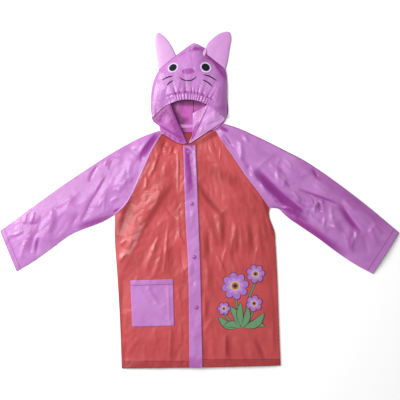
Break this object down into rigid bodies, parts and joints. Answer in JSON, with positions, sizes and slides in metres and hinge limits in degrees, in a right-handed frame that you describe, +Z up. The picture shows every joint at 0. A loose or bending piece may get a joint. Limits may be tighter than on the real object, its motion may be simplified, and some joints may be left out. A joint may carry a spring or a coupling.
{
  "type": "child's hooded raincoat laid flat",
  "caption": "Hooded button-front raincoat for a small child, laid flat on its back, with raglan sleeves, a patch pocket, a gathered hood brim and cat ears",
  "frame": {"origin": "middle of the coat's bounding box, on the surface that it lies on", "axes": "+X to the right and +Y towards the hood as seen from above, +Z up from the surface"},
  "size_m": [1.097, 0.926, 0.0249],
  "materials": {
    "red_vinyl": "soft red vinyl film, half gloss, finely creased",
    "lilac_vinyl": "soft lilac vinyl film, half gloss, finely creased",
    "pale_lilac_vinyl": "pale lilac vinyl film, half gloss",
    "snap_plastic": "moulded lilac plastic snap cap"
  },
  "bodies": {
    "root": {"back_panel": "red_vinyl", "front_left": "red_vinyl", "front_right": "red_vinyl", "sleeve_left": "lilac_vinyl", "sleeve_right": "lilac_vinyl", "button_band": "lilac_vinyl", "patch_pocket": "lilac_vinyl", "hood_back_left": "lilac_vinyl", "hood_back_right": "lilac_vinyl", "hood_crown": "lilac_vinyl", "hood_side_left": "lilac_vinyl", "hood_side_right": "lilac_vinyl", "ear_left": "pale_lilac_vinyl", "ear_right": "pale_lilac_vinyl", "snap_1": "snap_plastic", "snap_2": "snap_plastic", "snap_3": "snap_plastic", "snap_4": "snap_plastic"}
  },
  "joints": []
}
